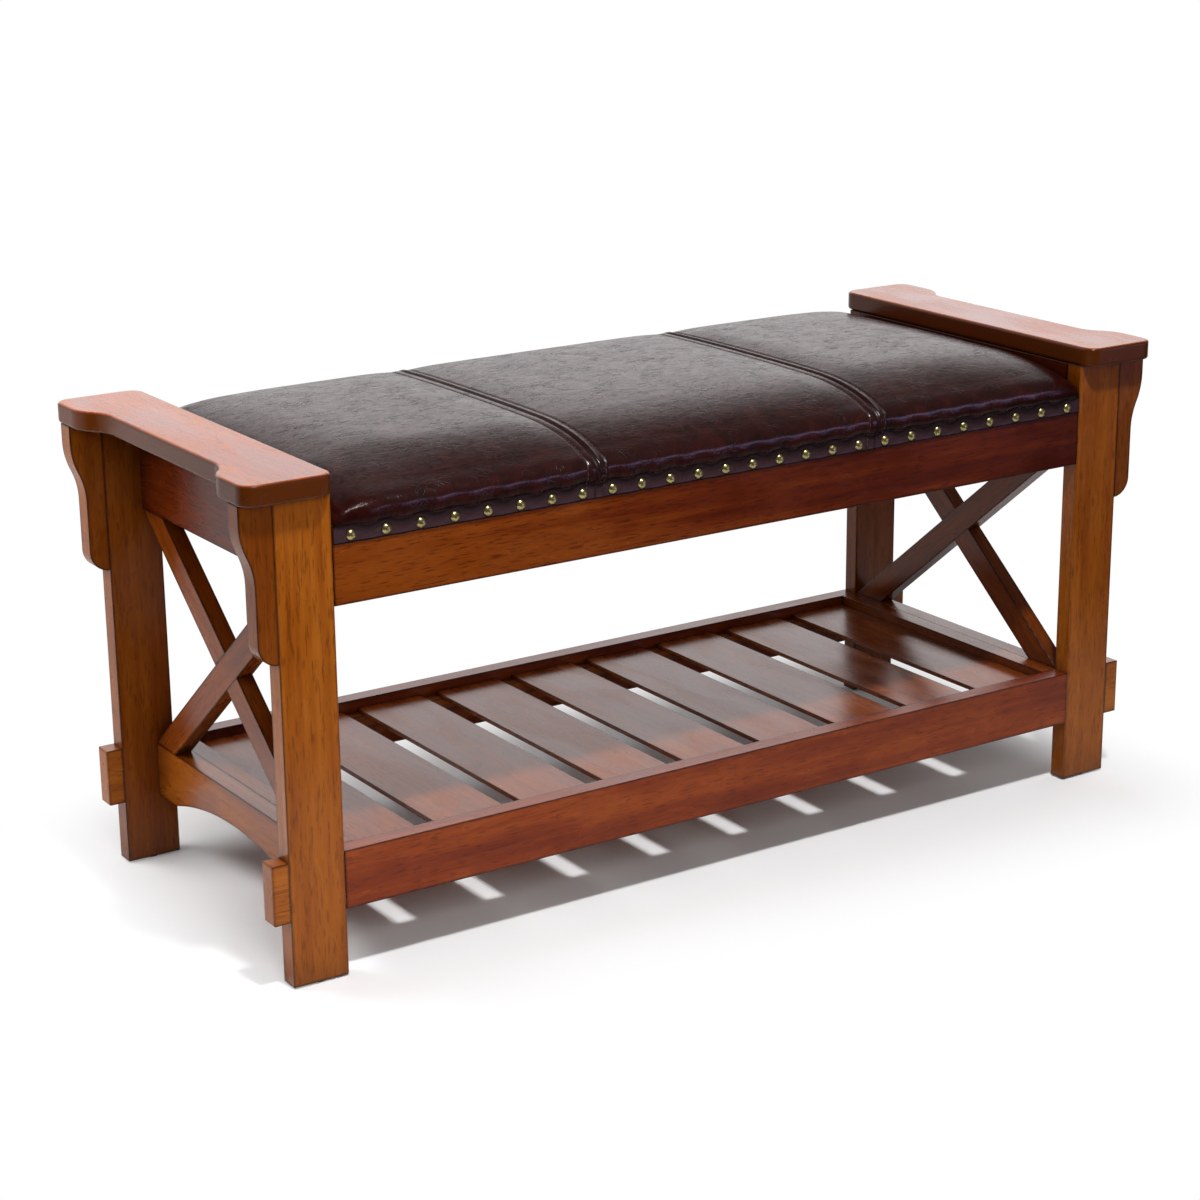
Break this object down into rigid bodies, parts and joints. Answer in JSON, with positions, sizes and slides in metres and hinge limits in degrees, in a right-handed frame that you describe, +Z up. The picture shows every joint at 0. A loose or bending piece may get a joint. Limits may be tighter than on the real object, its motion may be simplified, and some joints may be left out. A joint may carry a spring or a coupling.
{
  "type": "entry bench",
  "caption": "Entry bench with a crowned leather seat nailed to a stained wood frame, flat arm caps on corbelled posts, X-braced ends and a slatted shelf below",
  "frame": {"origin": "on the floor, under the middle of the bench", "axes": "+X along the bench to the right as seen from the front, +Y to the back, +Z up"},
  "size_m": [1.125, 0.438, 0.508],
  "materials": {
    "stained_cherry": "red-brown stain under satin lacquer",
    "plain_wood": "plain, unstained",
    "dowel_wood": "plain beech",
    "brown_leather": "dark brown, semi-gloss with fine creases",
    "seat_foam": "foam",
    "antique_brass": "aged, dark at the rims",
    "insert_brass": "plain",
    "zinc_steel": "zinc plated",
    "felt": "felt"
  },
  "bodies": {
    "root": {"arched_rail_left": "stained_cherry", "arched_rail_right": "stained_cherry", "arm_cap_left": "stained_cherry", "arm_cap_right": "stained_cherry", "brace_left_rising_back": "stained_cherry", "brace_left_rising_front": "stained_cherry", "brace_right_rising_back": "stained_cherry", "brace_right_rising_front": "stained_cherry", "cap_dowels": "dowel_wood", "corbel_back_left": "stained_cherry", "corbel_back_right": "stained_cherry", "corbel_front_left": "stained_cherry", "corbel_front_right": "stained_cherry", "end_apron_left": "stained_cherry", "end_apron_right": "stained_cherry", "foot_glides": "felt", "nailheads_back": "antique_brass", "nailheads_front": "antique_brass", "post_back_left": "stained_cherry", "post_back_right": "stained_cherry", "post_front_left": "stained_cherry", "post_front_right": "stained_cherry", "rail_dowels": "dowel_wood", "seat_board": "plain_wood", "seat_bolts": "zinc_steel", "seat_corner_blocks": "plain_wood", "seat_cover": "brown_leather", "seat_cross_rail": "plain_wood", "seat_end_rail_left": "plain_wood", "seat_end_rail_right": "plain_wood", "seat_foam": "seat_foam", "seat_inserts": "insert_brass", "seat_rail_back": "stained_cherry", "seat_rail_front": "stained_cherry", "seat_screws": "zinc_steel", "shelf_bolts": "zinc_steel", "shelf_end_rail_left": "stained_cherry", "shelf_end_rail_right": "stained_cherry", "shelf_inserts": "insert_brass", "shelf_rail_back": "stained_cherry", "shelf_rail_front": "stained_cherry", "shelf_slat_1": "stained_cherry", "shelf_slat_2": "stained_cherry", "shelf_slat_3": "stained_cherry", "shelf_slat_4": "stained_cherry", "shelf_slat_5": "stained_cherry", "shelf_slat_6": "stained_cherry", "shelf_slat_7": "stained_cherry", "shelf_slat_8": "stained_cherry", "shelf_slat_9": "stained_cherry", "slat_cleat_back": "plain_wood", "slat_cleat_front": "plain_wood", "slat_screws": "zinc_steel", "tenon_block_back_left": "stained_cherry", "tenon_block_back_right": "stained_cherry", "tenon_block_front_left": "stained_cherry", "tenon_block_front_right": "stained_cherry"}
  },
  "joints": []
}
